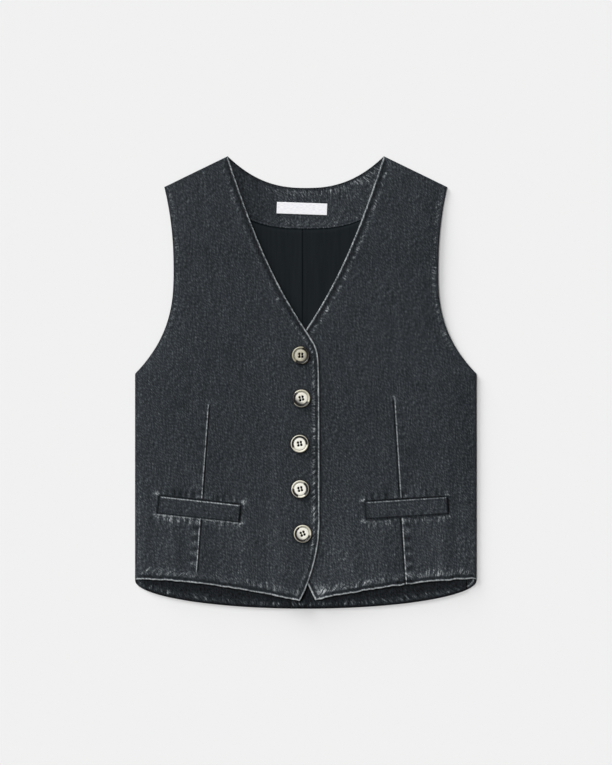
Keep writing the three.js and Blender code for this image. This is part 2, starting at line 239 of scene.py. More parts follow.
def linear(hex_colour):
    """The linear colour of an sRGB hex value."""
    channels = [int(hex_colour[k : k + 2], 16) / 255 for k in (1, 3, 5)]
    curved = [c / 12.92 if c <= 0.04045 else ((c + 0.055) / 1.055) ** 2.4 for c in channels]
    return (*curved, 1.0)


def add_node(tree, kind, links=None, stops=None, **settings):
    """Adds a node. links gives each socket, by name or number, a value or another socket,
    and stops gives a colour ramp its places and colours."""
    made = tree.nodes.new(kind)
    for key, value in settings.items():
        setattr(made, key, value)
    for key, value in (links or {}).items():
        if isinstance(value, NodeSocket):
            tree.links.new(value, made.inputs[key])
        else:
            made.inputs[key].default_value = value
    if stops:
        ramp = made.color_ramp.elements
        ramp.remove(ramp[1])
        for place, colour in stops[1:]:
            ramp.new(place).color = linear(colour)
        ramp[0].position = stops[0][0]
        ramp[0].color = linear(stops[0][1])
    return made


def new_material(name, sockets):
    """A material with its shader's own sockets set, and its node tree and shader."""
    made = bpy.data.materials.new(name)
    made.use_nodes = True
    shader = made.node_tree.nodes["Principled BSDF"]
    for key, value in sockets.items():
        shader.inputs[key].default_value = value
    return made, made.node_tree, shader


# Washed black denim: warp-faced cotton twill, stone washed. Its twill lines lean to the left
# and are 0.6 mm apart, too fine to show here, so they are drawn as broken strokes about 1 mm
# wide. Slubs in the warp run up the cloth, and the wash left paler streaks. Each layer: width
# and length in mm, lean in degrees, detail, and how much it changes the shade.
TWILL_STROKES = (1.1, 3.6, 40, 0.0, 0.49)
SLUBS = (1.2, 16.0, 1, 1.0, 0.3)
WASH_STREAKS = (11.0, 60.0, 0, 2.0, 0.1)
# Fine creases run in from each puckered seam.
CREASE_WIDTH, CREASE_LENGTH = 1.25, 12.0
DENIM_SHADES = [
    (0.0, "#0a0c0e"),
    (0.36, "#2a2e32"),
    (0.55, "#454a4e"),
    (1.0, "#b4b8ba"),
]


def washed_denim(name, tone):
    """Denim of one tone. Its meshes carry a value of wear and painted shade: how bleached a place
    is, less the painted shade drawn into it; "roped", how much its creases show; and "seam",
    the place along the nearest seam and in from it, in mm."""
    sockets = {"Roughness": 0.9, "IOR": 1.53, "Specular IOR Level": 0.1}
    made, tree, shader = new_material(name, sockets)
    place = add_node(tree, "ShaderNodeTexCoord").outputs["Object"]
    layers = (WASH_STREAKS, SLUBS, TWILL_STROKES)
    shade = tone - 0.5 * sum(weight for *_, weight in layers)
    height = 0.0
    for width, length, lean, detail, weight in layers:
        size = (0.001 * width, 0.001 * length, 1)
        links = {"Vector": place, "Rotation": (0, 0, math.radians(lean)), "Scale": size}
        spread = add_node(tree, "ShaderNodeMapping", links, vector_type="TEXTURE").outputs[0]
        links = {"Vector": spread, "Scale": 1.0, "Detail": detail}
        noise = add_node(tree, "ShaderNodeTexNoise", links, noise_dimensions="2D").outputs[0]
        links = {0: noise, 1: weight, 2: shade}
        shade = add_node(tree, "ShaderNodeMath", links, operation="MULTIPLY_ADD").outputs[0]
        links = {0: noise, 1: 1.0 if width < 10 else 0.0, 2: height}
        height = add_node(tree, "ShaderNodeMath", links, operation="MULTIPLY_ADD").outputs[0]

    seam = add_node(tree, "ShaderNodeAttribute", attribute_name="seam").outputs["Vector"]
    links = {"Vector": seam, "Scale": (CREASE_WIDTH, CREASE_LENGTH, 1)}
    spread = add_node(tree, "ShaderNodeMapping", links, vector_type="TEXTURE").outputs[0]
    links = {"Vector": spread, "Scale": 1.0, "Detail": 1.0, "Distortion": 0.6}
    noise = add_node(tree, "ShaderNodeTexNoise", links, noise_dimensions="2D").outputs[0]
    links = {"Value": noise, "From Min": 0.42, "From Max": 0.7}
    creases = add_node(tree, "ShaderNodeMapRange", links).outputs[0]
    # The value of wear also darkens places with painted shade.
    for pattern, key in ((creases, "roped"), (1.0, "worn")):
        amount = add_node(tree, "ShaderNodeAttribute", attribute_name=key).outputs["Fac"]
        links = {0: pattern, 1: amount, 2: shade}
        shade = add_node(tree, "ShaderNodeMath", links, operation="MULTIPLY_ADD").outputs[0]

    colour = add_node(tree, "ShaderNodeValToRGB", {"Fac": shade}, stops=DENIM_SHADES)
    links = {"Height": height, "Strength": 0.2, "Distance": 0.0002}
    bump = add_node(tree, "ShaderNodeBump", links)
    tree.links.new(colour.outputs["Color"], shader.inputs["Base Color"])
    tree.links.new(bump.outputs[0], shader.inputs["Normal"])
    return made


black_denim = washed_denim("black_denim_twill", 0.34)


def back_half():
    """The left half of the back, from the centre line and the neck edge out to the side.
    Each knot is a height on the centre line and the height that its row has at the side."""
    bottom, neck_row_y = back_hem_y(0.0), 150
    knots = np.array(
        [[bottom, BACK_SIDE_HEM_Y], [-200, -200], [5, 5], [70, 40], [BACK_NECK_Y, neck_row_y]]
    )
    hem = bottom + FOLD_STEPS
    inner = np.concatenate([hem, np.linspace(hem[-1], BACK_NECK_Y, 190)[1:]])
    side = np.interp(inner, knots[:, 0], knots[:, 1])
    up = np.concatenate([np.linspace(0, 1, 48)[1:-1], 1 - FOLD_STEPS[::-1] / 95])
    start_x = np.concatenate([np.zeros(len(inner)), NECK_POINT_OUT * up])
    start_y = np.concatenate([inner, back_neck_y(NECK_POINT_OUT * up)])
    end_y = np.concatenate([side, lerp(neck_row_y, SHOULDER_TIP_Y, up)])
    end_x = side_out(end_y)
    fold = FOLD_STEPS / 75
    share = np.concatenate([fold, np.linspace(fold[-1], 1 - fold[-1], 78)[1:-1], 1 - fold[::-1]])
    x = lerp(start_x[:, None], end_x[:, None], share)
    straight = lerp(bottom, BACK_SIDE_HEM_Y, share)
    fade = np.clip((HEM_FADE_Y - end_y) / (HEM_FADE_Y - BACK_SIDE_HEM_Y), 0, 1) ** 2
    y = lerp(start_y[:, None], end_y[:, None], share)
    y = y + fade[:, None] * (back_hem_y(x) - straight)
    return np.stack([x, y], axis=-1)


def nearest_edge(near, wear):
    """The distance to the nearest edge, the place along it, and its five numbers of wear and
    painted
    shade: how bleached its fold is, and below zero how much painted shade darkens it, how deep
    the dip behind it is and how dark its painted shade, how much the cloth puckers, and how far
    in the puckers start and end."""
    names = list(near)
    distances = np.array([near[name][0] for name in names])
    nearest = distances.argmin(axis=0)
    shifted = [near[name][1] + EDGE_SHIFT * k for k, name in enumerate(names)]
    along = np.choose(nearest, shifted)
    count = distances.shape[1]
    each = np.array([[np.broadcast_to(n, count) for n in wear[name]] for name in names])
    return distances.min(axis=0), along, each[nearest, :, np.arange(count)].T


def seam_wear_and_shade(away, along, wear, seed):
    """Relief and values of a seamed edge: a fold bleached pale, which a negative first number
    darkens with painted shade instead, a line of painted shade in the dip behind it, and short
    puckers further in, with fine creases among them."""
    fold_bleach_and_shade, dip_and_shade, puckered, start, end = wear
    leaned = along + 0.9 * wander(along, 30, seed) * away
    ridge = ridges(leaned, PUCKER_SPACING, seed + 1)
    reach = start + (end - start) * (0.75 + 0.25 * wander(along, 15, seed + 2))
    rise = smoothstep(start - 1.8, start + 1.2, away)
    zone = rise * (1 - smoothstep(lerp(start, reach, 0.3), reach, away))
    fold = 1 - smoothstep(1.1, 2.3, away + 0.3 * wander(along, 2.5, seed + 3))
    # The cloth sinks in the dip, and painted shade darkens it.
    dip = band(away, 1.8, 3.2, start + 1.5)
    patchy = 0.88 + 0.12 * wander(along, 3, seed + 4)
    relief = puckered * zone * (0.5 * ridge - 0.15) - 1.1 * dip * dip_and_shade
    worn = fold_bleach_and_shade * patchy * fold - dip_and_shade * dip + puckered * zone * (0.14 * ridge - 0.05)
    roped = puckered * zone * (0.2 + 0.1 * ridge)
    seam = np.column_stack([leaned, away, np.zeros(len(away))])
    return relief, {"worn": worn, "roped": roped, "seam": seam}


def worn_sheet(plan, lines, wear, seed):
    """How far a sheet's points lie from its edges, with the relief and values of its seams."""
    near = {name: beside(plan[0], line) for name, line in lines.items()}
    away, along, nearest_wear = nearest_edge(near, wear)
    return away, *seam_wear_and_shade(away, along, nearest_wear, seed)


left_half = back_half()
mirror = np.array([-1, 1])
back_plan = join_grids([left_half * mirror, left_half])
neck_x = np.linspace(-NECK_POINT_OUT, NECK_POINT_OUT, 121)
back_lines = {
    "hem": np.concatenate([left_half[0, ::-1] * mirror, left_half[0]]),
    "right_side": left_half[:, -1] * mirror,
    "left_side": left_half[:, -1],
    "right_shoulder": left_half[-1] * mirror,
    "left_shoulder": left_half[-1],
    "neck": np.column_stack([neck_x, back_neck_y(neck_x)]),
}
side_wear, shoulder_wear = (0.0, 0.1, 0.4, 4, 13), (0.0, 0.1, 0.3, 4, 13)
back_wear = {
    "hem": (0.05, 0.1, 0.9, 4, 18),
    "right_side": side_wear,
    "left_side": side_wear,
    "right_shoulder": shoulder_wear,
    "left_shoulder": shoulder_wear,
    "neck": (0.1, 0.1, 0.6, 4, 13),
}
away, _, values = worn_sheet(back_plan, back_lines, back_wear, 3)
x, y = back_plan[0].T
hem_end = smoothstep(HEM_END_OUT, HEM_END_OUT + 12, np.abs(x))
hem_end = hem_end * np.where(x > 0, BLEACHED_LEFT, BLEACHED_RIGHT) * band(away, 2.0, 3.6, 5.4)
inside_hem = smoothstep(INSIDE_HEM_Y, INSIDE_HEM_Y - 4, y)
# The hem's ends are bleached, and painted shade darkens the inside of the hem.
values["worn"] += inside_hem * (hem_end - PAINTED_HEM_SHADE)
underside = back_underside(x, y)
back_panel = add_cloth(
    "back_panel", back_plan, away, underside, BACK_CLOTH, black_denim, values=values
)
sewn_sheet(back_panel, "back")


# The back neck facing
# A curved strip of the same denim on the inside of the back neck, sewn round the neck edge
# and understitched, so that the seam puckers. Its lower edge is sewn to the lining.

FACING_CLOTH = 1.2
LAYER_GAP = 0.3
ON_BACK = BACK_CLOTH + LAYER_GAP
FACING_END_OUT, FACING_Y, FACING_CURVE = 135.0, 192.5, 2.8
SHOULDER_SLOPE = (NECK_POINT_Y - SHOULDER_TIP_Y) / (SHOULDER_TIP_OUT - NECK_POINT_OUT)
FACING_END_Y = NECK_POINT_Y - SHOULDER_SLOPE * (FACING_END_OUT - NECK_POINT_OUT)
HIDDEN_EDGE = (0.0, 0.0, 0.0, 4, 13)
# The facings are thin, so their puckers stand half as high.
FACING_RELIEF = 0.5
# How much fine creases show all over the facing, and how far they lean for each mm inwards.
CREASED_ALL_OVER, CREASE_LEAN = 0.13, 0.6


def facing_lower_y(x):
    return lerp(FACING_Y, FACING_END_Y, (np.abs(x) / FACING_END_OUT) ** FACING_CURVE)


def sides_of(grid):
    """The first and the last row of a grid's points, then its first and last column."""
    return grid[0], grid[-1], grid[:, 0], grid[:, -1]


def worn_strip(grid, wear, seed):
    """A strip's plan and what its worn sides do to it, with wear in the order of sides_of."""
    plan = join_grids([grid])
    return plan, *worn_sheet(plan, dict(zip(wear, sides_of(grid))), wear, seed)


share = np.linspace(-1, 1, 161)
fold = FOLD_STEPS / 50
down = np.concatenate([fold, np.linspace(0.06, 0.94, 34), 1 - fold[::-1]])[:, None]
upper_x, lower_x = NECK_POINT_OUT * share, FACING_END_OUT * share
upper_y, lower_y = back_neck_y(upper_x) - 0.5, facing_lower_y(lower_x)
grid = np.stack([lerp(upper_x, lower_x, down), lerp(upper_y, lower_y, down)], axis=-1)
wear = {
    "neck": (-0.25, 0.12, 0.6, 3, 18),
    "lower": (0.06, 0.08, 0.2, 3, 12),
    "right_end": HIDDEN_EDGE,
    "left_end": HIDDEN_EDGE,
}
plan, away, relief, values = worn_strip(grid, wear, 11)
# Painted shade: the wearer's right end lies in the shadow of the front's V edge, so it is
# drawn darker and shows its creases less. They lean except at the left end.
x = plan[0][:, 0]
lit_side, leaning = smoothstep(-100, -10, x), smoothstep(60, 0, x)
values["roped"] = (values["roped"] + CREASED_ALL_OVER) * lerp(0.3, 1.2, lit_side)
values["worn"] -= 0.1 * (1 - lit_side)
values["seam"][:, 0] -= CREASE_LEAN * leaning * away
facing_denim = washed_denim("facing_denim_twill", 0.325)
neck_facing = add_cloth(
    "neck_facing", plan, away, ON_BACK, FACING_CLOTH, facing_denim, FACING_RELIEF * relief, values
)
sewn_sheet(neck_facing, "back_neck_facing")


# The back hem facing
# A bias strip of the denim inside the back hem. It shows below the fronts, in their shade,
# and puckers along the seam at its lower edge.

HEM_FACING_WIDTH, HEM_FACING_INSET, INSIDE_MARGIN = 35.0, 1.0, 12.0
hem_x = np.linspace(-HALF_WIDTH + INSIDE_MARGIN, HALF_WIDTH - INSIDE_MARGIN, 261)
up = np.concatenate([FOLD_STEPS, np.linspace(4, 32, 18), HEM_FACING_WIDTH - FOLD_STEPS[::-1]])
hem_y = back_hem_y(hem_x) + HEM_FACING_INSET + up[:, None]
grid = np.stack([np.broadcast_to(hem_x, hem_y.shape), hem_y], axis=-1)
wear = {
    "hem": (-0.15, 0.05, 1.7, 2.5, 14),
    "upper": HIDDEN_EDGE,
    "right_end": HIDDEN_EDGE,
    "left_end": HIDDEN_EDGE,
}
plan, away, relief, values = worn_strip(grid, wear, 23)
# Painted shade: the facing lies in the fronts' shade, so it is drawn darker.
values["worn"] -= PAINTED_HEM_SHADE
values["seam"][:, 0] += CREASE_LEAN * away
hem_facing = add_cloth(
    "hem_facing", plan, away, ON_BACK, FACING_CLOTH, facing_denim, FACING_RELIEF * relief, values
)
sewn_sheet(hem_facing, "back_hem_facing")


# The back lining
# Black polyester satin from the neck facing to the hem facing, with an ease pleat pressed
# down its middle and soft creases beside it.

LINING_CLOTH = 1.0
LINING_TOP_Y, LINING_MIDDLE_OUT = 205.0, 190.0
PLEAT_X, PLEAT_HEIGHT, PLEAT_RUN = -4.0, 0.55, 14.0
# Each soft crease: its x, its height and how far it falls off to each side.
CREASES = [(17.0, 0.25, 7.0), (37.0, 0.18, 8.0), (-31.0, 0.15, 9.0)]


def fine_weave(name, sockets, size, detail, stops, strength):
    """A weave too fine to show, as faint lines of one size, with a bump of one strength."""
    made, tree, shader = new_material(name, sockets)
    place = add_node(tree, "ShaderNodeTexCoord").outputs["Object"]
    links = {"Vector": place, "Scale": size}
    spread = add_node(tree, "ShaderNodeMapping", links, vector_type="TEXTURE").outputs[0]
    links = {"Vector": spread, "Scale": 1.0, "Detail": detail}
    lines = add_node(tree, "ShaderNodeTexNoise", links, noise_dimensions="2D").outputs[0]
    colour = add_node(tree, "ShaderNodeValToRGB", {"Fac": lines}, stops=stops)
    links = {"Height": lines, "Strength": strength, "Distance": 0.0001}
    bump = add_node(tree, "ShaderNodeBump", links)
    tree.links.new(colour.outputs["Color"], shader.inputs["Base Color"])
    tree.links.new(bump.outputs[0], shader.inputs["Normal"])
    return made


def from_edges(plan, grid):
    """How far the points of a four-sided sheet lie from its nearest edge."""
    return np.min([beside(plan[0], line)[0] for line in sides_of(grid)], axis=0)


# Filament polyester satin: smooth, with a soft sheen and faint lines along its floats, drawn
# 3 mm wide.
sockets = {"Roughness": 0.5, "IOR": 1.55, "Specular IOR Level": 0.03}
stops = [(0.3, "#13181b"), (0.7, "#161b1e")]
satin = fine_weave("black_polyester_satin", sockets, (0.003, 0.05, 1), 1.0, stops, 0.06)

lowest = back_hem_y(HALF_WIDTH - INSIDE_MARGIN) + HEM_FACING_INSET + HEM_FACING_WIDTH
rows_up = np.linspace(0, 1, 151)
half = side_out(lerp(lowest, LINING_TOP_Y, rows_up)) - INSIDE_MARGIN
pleat_columns = (PLEAT_X + FOLD_STEPS) / LINING_MIDDLE_OUT
columns = np.sort(np.concatenate([np.linspace(-1, 1, 141), pleat_columns]))
upright = smoothstep(0.5, 0.25, np.abs(columns))
lining_x = lerp(half[:, None] * columns, LINING_MIDDLE_OUT * columns, upright)
lower = back_hem_y(lining_x) + HEM_FACING_INSET + HEM_FACING_WIDTH + LAYER_GAP
upper = np.minimum(facing_lower_y(lining_x) - LAYER_GAP, LINING_TOP_Y)
grid = np.stack([lining_x, lerp(lower, upper, rows_up[:, None])], axis=-1)
plan = join_grids([grid])
x = plan[0][:, 0]
relief = PLEAT_HEIGHT * np.clip(1 - (PLEAT_X - x) / PLEAT_RUN, 0, 1) * (x <= PLEAT_X)
for crease_x, crease_height, crease_run in CREASES:
    relief += crease_height * np.exp(-(((x - crease_x) / crease_run) ** 2))
away = from_edges(plan, grid)
back_lining = add_cloth("lining_panel", plan, away, ON_BACK, LINING_CLOTH, satin, relief)
sewn_sheet(back_lining, "back_lining")


# The label
# A short white woven tape, blank, with its ends turned under and sewn down at its corners.

LABEL_X, LABEL_Y, LABEL_WIDTH, LABEL_HEIGHT, LABEL_TILT = -4.7, 217.5, 63.0, 14.5, -2.0
LABEL_CLOTH = 0.8
ON_FACING = ON_BACK + FACING_CLOTH + LAYER_GAP


def turned(a, b, degrees, centre):
    """Points (a, b) turned about the origin and moved to a centre."""
    cosine, sine = math.cos(math.radians(degrees)), math.sin(math.radians(degrees))
    x = centre[0] + a * cosine - b * sine
    y = centre[1] + a * sine + b * cosine
    return np.stack([x, y], axis=-1)


def strip_grid(width, height, degrees, centre, columns, rows):
    """A rectangle of cloth with close rows of points beside its edges."""
    fold = FOLD_STEPS[:5]
    across = np.concatenate([fold, np.linspace(2, width - 2, columns), width - fold[::-1]])
    up = np.concatenate([fold, np.linspace(2, height - 2, rows), height - fold[::-1]])
    a, b = np.meshgrid(across - width / 2, up - height / 2)
    return turned(a, b, degrees, centre)


# Woven polyester tape: bright white and matt, with a close rib across it, drawn 1.2 mm apart.
sockets = {"Roughness": 0.7, "IOR": 1.55, "Specular IOR Level": 0.2}
stops = [(0.3, "#dedee2"), (0.7, "#eeeef1")]
tape = fine_weave("white_woven_tape", sockets, (0.004, 0.0006, 1), 0.0, stops, 0.3)
grid = strip_grid(LABEL_WIDTH, LABEL_HEIGHT, LABEL_TILT, (LABEL_X, LABEL_Y), 40, 12)
plan = join_grids([grid])
label_tape = add_cloth("label_tape", plan, from_edges(plan, grid), ON_FACING, LABEL_CLOTH, tape)
sewn_sheet(label_tape, "label")


# The fronts
# Two pieces of the denim. The wearer's right front lies over the left. Each has a V neck
# edge, a straight edge with a cutaway corner, a curved hem and one long dart, pressed
# towards the centre. All the edges but the seams are turned over a facing and pressed flat.

FRONT_CLOTH = 1.8
FRONT_SIDE_HEM_Y, FRONT_HEM_DROP, FRONT_HEM_CURVE_OUT = -246.0, 28.5, 205.0
V_CROSSING_OUT, V_CROSSING_Y, V_SOFTNESS = 0.6, 68.0, 8.8
CUTAWAY_Y = -175.0
SIDE_ROUNDING, SHOULDER_ROUNDING, ARMHOLE_GAPE = 70.0, 85.0, 2.0
OVERLAP_RISE = FRONT_CLOTH + 0.4
# Under a welt the cloth counts as far from the welt's edges. Places along a welt are counted
# from 200 mm before its middle, so that none is below zero.
FAR_AWAY, WELT_START = 90.0, 200
# The turnings of a dart press through in a rung about every 13.5 mm.
RUNG_SPACING = 13.5
# A bright spot of wear is this much paler, and its creases show this much more.
RUBBED_PALE, RUBBED_CREASED = 0.26, 0.6
# Painted shade: how much darker the cloth is drawn beside a button, and beside the edge that
# lies over it.
CLOSE_SHADE = 0.2
# How high the fronts stand above their seams, from the hem to the shoulders.
RISE_Y = [-285, -150, 0, 90, 160, 220, 285]
RISE = [6.6, 6.0, 6.6, 6.0, 5.0, 3.4, 1.4]
# How close the puckers of a front's inner edge lie, beside those of its other edges.
INNER_PUCKER_RATE = 0.6
# "reach" is how far the straight edge passes the centre line, and "tip_out" how far out the
# cutaway ends. "v_stitch" is how far the stitches of the V lie from its edge, beyond those of
# the straight edge, and how strongly they show. "dart" gives heights and how far out the dart
# lies there. Each welt is given by its middle, its sides and how far it falls outwards, in
# degrees, with how bleached its fold and the seam under it are; below zero, the seam under it
# is darkened with painted shade instead. "rubbed" lists bright spots of wear: out, y and
# radius in mm, and strength.
FRONTS = {
    "right": dict(
        way=-1,
        over=True,
        reach=17.2,
        tip_out=7.5,
        cutaway_power=2,
        v_stitch=(1.0, 0.3),
        hem_puckers=0.95,
        armhole_puckers=0.9,
        apex_y=-27,
        dart_end_y=-237,
        dart=([-275, -27, 100, 265], [138.5, 120.7, 113, 137]),
        welt=dict(out=132.9, y=-158, width=101, height=21.5, fall=6.2, crest=0.52, under=0.5),
        rubbed=[
            (120.7, -26, 2.6, 0.5),
            (186.5, -138, 3.2, 0.5),
            (77.4, -148.5, 4.0, 0.55),
            (189.0, -165.5, 2.6, 0.3),
            (80.0, -174, 3.5, 0.35),
            (137.0, -127, 3.0, 0.3),
            (-4.2, 34, 1.3, 1.4),
        ],
        seed=40,
    ),
    "left": dict(
        way=1,
        over=False,
        reach=20,
        tip_out=11.9,
        cutaway_power=1.4,
        v_stitch=(2.0, 0.65),
        hem_puckers=1.25,
        armhole_puckers=1.15,
        apex_y=-19.5,
        dart_end_y=-290,
        dart=([-275, -19.5, 100, 265], [126.5, 110.4, 107, 137]),
        welt=dict(out=126.2, y=-156.5, width=101.5, height=21.3, fall=3.6, crest=0.4, under=-0.12),
        rubbed=[
            (110.4, -19, 2.6, 0.5),
            (71.4, -147, 3.4, 0.6),
            (177.6, -165.6, 2.2, 0.6),
            (175.6, -140, 3.0, 0.3),
            (70.5, -173, 3.2, 0.35),
            (20, -261, 6.5, 0.6),
        ],
        seed=70,
    ),
}
BUTTONS = [
    dict(x=-6.1, y=33.8, turn=0),
    dict(x=-5.4, y=-19.9, turn=12),
    dict(x=-7.6, y=-76.5, turn=10),
    dict(x=-6.9, y=-133.1, turn=13),
    dict(x=-3.8, y=-188.8, turn=22),
]


def front_hem_y(out):
    share = np.clip(1 - np.abs(out) / FRONT_HEM_CURVE_OUT, 0, None)
    return FRONT_SIDE_HEM_Y - FRONT_HEM_DROP * share**1.6


def inner_out(front, y):
    """A front's inner edge: the cutaway, the straight edge and the V."""
    down = (NECK_POINT_Y - y) / (NECK_POINT_Y - V_CROSSING_Y)
    bowed = 0.75 * down + 0.25 * np.clip(down, 0, None) ** 3.1
    v_edge = lerp(NECK_POINT_OUT, V_CROSSING_OUT, bowed)
    edge = (v_edge - front["reach"] + np.hypot(v_edge + front["reach"], V_SOFTNESS)) / 2
    tip_y = front_hem_y(front["tip_out"])
    low = np.clip((CUTAWAY_Y - y) / (CUTAWAY_Y - tip_y), 0, None)
    return edge + (front["reach"] + front["tip_out"]) * low ** front["cutaway_power"]


def front_underside(front, out, y):
    shoulder_y = NECK_POINT_Y - SHOULDER_SLOPE * (out - NECK_POINT_OUT)
    below_shoulder = (shoulder_y - y) / math.hypot(1, SHOULDER_SLOPE)
    from_side = 1 - (1 - np.clip((side_out(y) - out) / SIDE_ROUNDING, 0, 1)) ** 3
    from_shoulder = 1 - (1 - np.clip(below_shoulder / SHOULDER_ROUNDING, 0, 1)) ** 3
    on_facing = smoothstep(170, 150, out) * smoothstep(140, 180, y)
    seam = lerp(ON_BACK, ON_FACING, on_facing) + side_lift(y)
    up_armhole = np.clip((y - UNDERARM_Y) / (SHOULDER_TIP_Y - UNDERARM_Y), 0, 1)
    gape = ARMHOLE_GAPE * np.sin(np.pi * up_armhole) * (1 - from_side)
    place = np.interp(y, RISE_Y, np.arange(len(RISE_Y)))
    step = np.minimum(place.astype(int), len(RISE) - 2)
    rise = lerp(np.take(RISE, step), np.take(RISE, step + 1), smoothstep(0, 1, place - step))
    overlap = OVERLAP_RISE * smoothstep(60, 22, out) * smoothstep(150, 95, y)
    return seam + gape + rise * from_side * from_shoulder + front["over"] * overlap


def front_grid(front):
    tip_y = float(front_hem_y(front["tip_out"]))
    knots = np.array(
        [[tip_y, FRONT_SIDE_HEM_Y], [CUTAWAY_Y] * 2, [5, 5], [75, 40], [283, 244.5]]
    )
    hem, top = tip_y + FOLD_STEPS, NECK_POINT_Y - FOLD_STEPS[::-1]
    rows = np.interp(np.arange(259), [0, 12, 40, 96, 258], [hem[-1], -257, -187, -127, top[0]])
    start_y = np.concatenate([hem, rows[1:-1], top])
    end_y = np.interp(start_y, knots[:, 0], knots[:, 1])
    start, end = inner_out(front, start_y), side_out(end_y)
    # The dart slants, so where a row meets it is found in three steps from a first guess.
    dart = np.full(len(start), 130.0)
    for _ in range(3):
        dart_y = lerp(start_y, end_y, (dart - start) / (end - start))
        dart = np.interp(dart_y, *front["dart"])
    close = np.array([-3.4, -2.4, -1.6, -0.9, -0.4, 0, 0.4, 0.9, 1.6, 2.4, 3.4])
    spread = np.clip((end - dart) / 60, 0.35, 1)[:, None]
    start, end, dart = start[:, None], end[:, None], dart[:, None]
    inner_fold, outer_fold = start + FOLD_STEPS, end - FOLD_STEPS[::-1]
    beside_dart = dart + close * spread
    to_dart = lerp(inner_fold[:, -1:], beside_dart[:, :1], np.linspace(0, 1, 70)[1:-1])
    to_side = lerp(beside_dart[:, -1:], outer_fold[:, :1], np.linspace(0, 1, 44)[1:-1])
    out = np.concatenate([inner_fold, to_dart, beside_dart, to_side, outer_fold], axis=1)
    across = (out - start) / (end - start)
    y = lerp(start_y[:, None], end_y[:, None], across)
    fade = np.clip((HEM_FADE_Y - end_y) / (HEM_FADE_Y - FRONT_SIDE_HEM_Y), 0, 1) ** 2
    y = y + fade[:, None] * (front_hem_y(out) - lerp(tip_y, FRONT_SIDE_HEM_Y, across))
    ripple = 0.5 * wander(out, 9, front["seed"]) + 0.4 * wander(out, 4, front["seed"] + 9)
    at_hem = smoothstep(HEM_FADE_Y, FRONT_SIDE_HEM_Y, end_y)[:, None] ** 8
    y = y + ripple * smoothstep(0, 8, out - start) * at_hem
    return np.stack([front["way"] * out, y], axis=-1)


def welt_frame(front, points):
    """Points measured from the middle of a front's welt: along it and above it."""
    welt = front["welt"]
    fall = math.radians(welt["fall"])
    a, b = front["way"] * points[:, 0] - welt["out"], points[:, 1] - welt["y"]
    return a * math.cos(fall) + b * math.sin(fall), b * math.cos(fall) - a * math.sin(fall)


def dart_wear_and_shade(front, out, y):
    """Relief and shade of the dart: a pale fold outwards, a groove inwards darkened with painted
    shade, and a ladder of paler rungs where its turnings press through the cloth below the welt."""
    off = out - np.interp(y, *front["dart"])
    seed = front["seed"]
    length = smoothstep(front["apex_y"] + 1, front["apex_y"] - 5, y)
    length *= smoothstep(front["dart_end_y"] - 1, front["dart_end_y"] + 3, y)
    length *= smoothstep(11, 14, np.abs(y - front["welt"]["y"]))
    crest = band(off, -0.3, 0.8, 2.1)
    groove = band(off, -2.6, -0.9, 0.3)
    press = np.exp(-((off / 9) ** 2))
    rungs = np.sin(2 * np.pi * (y + 3 * wander(y, 18, seed + 7)) / RUNG_SPACING)
    ladder = lerp(0.4, 1, smoothstep(-125, -165, y)) * smoothstep(1, 2, off)
    ladder *= smoothstep(12, 8, off)
    relief = length * (0.5 * crest - 0.75 * groove + 0.35 * press)
    flaw = 0.75 + 0.25 * wander(y, 2, seed + 8)
    # The groove is darkened with painted shade.
    worn = length * (0.6 * crest * flaw - 0.34 * groove)
    return relief, worn + length * ladder * (0.15 * rungs - 0.02)


def welt_seam_wear_and_shade(front, along_welt, over_welt):
    """Wear and painted shade of the front round its welt: painted shade in the seam above and at
    both ends, a line under it (painted shade where the welt's "under" is below zero), two pale
    creases that leave each corner, and columns above and below where the pocket's turnings
    press through."""
    beyond = np.abs(along_welt) - front["welt"]["width"] / 2
    above = over_welt - front["welt"]["height"] / 2
    under = -over_welt - front["welt"]["height"] / 2
    off_level = np.maximum(above, under)
    between, level = smoothstep(2, 0, beyond), smoothstep(3, 1, off_level)
    flaw = 0.75 + 0.25 * wander(along_welt, 3, front["seed"] + 11)
    # Painted shade in the seam above the welt and at both its ends.
    upper_seam_shade = 0.44 * between * band(above, -1.5, 0.7, 2.4)
    end_seam_shade = 0.46 * level * band(beyond, -1.2, 0.8, 2.9)
    line = front["welt"]["under"] * between * flaw * band(under, 0.1, 1.5, 3.0)
    worn = line - np.maximum(upper_seam_shade, end_seam_shade)
    reach = np.hypot(beyond, off_level)
    corner = smoothstep(0, 1, beyond) * smoothstep(0, 1, off_level) * smoothstep(9, 3, reach)
    for slope, strength in ((1.6, 0.5), (0.35, 0.3)):
        worn += strength * corner * flaw * band(off_level - slope * beyond, -1.7, 0, 1.7)
    columns = np.minimum(1.6 * ridges(along_welt, PUCKER_SPACING, front["seed"] + 13), 1)
    over = 0.3 * (0.35 - columns) * smoothstep(1.5, 3, above) * smoothstep(13, 7, above)
    below = 0.25 * (columns - 0.4) * smoothstep(1.5, 3, under) * smoothstep(16, 6, under)
    return worn + smoothstep(4, -2, beyond) * (over + below)


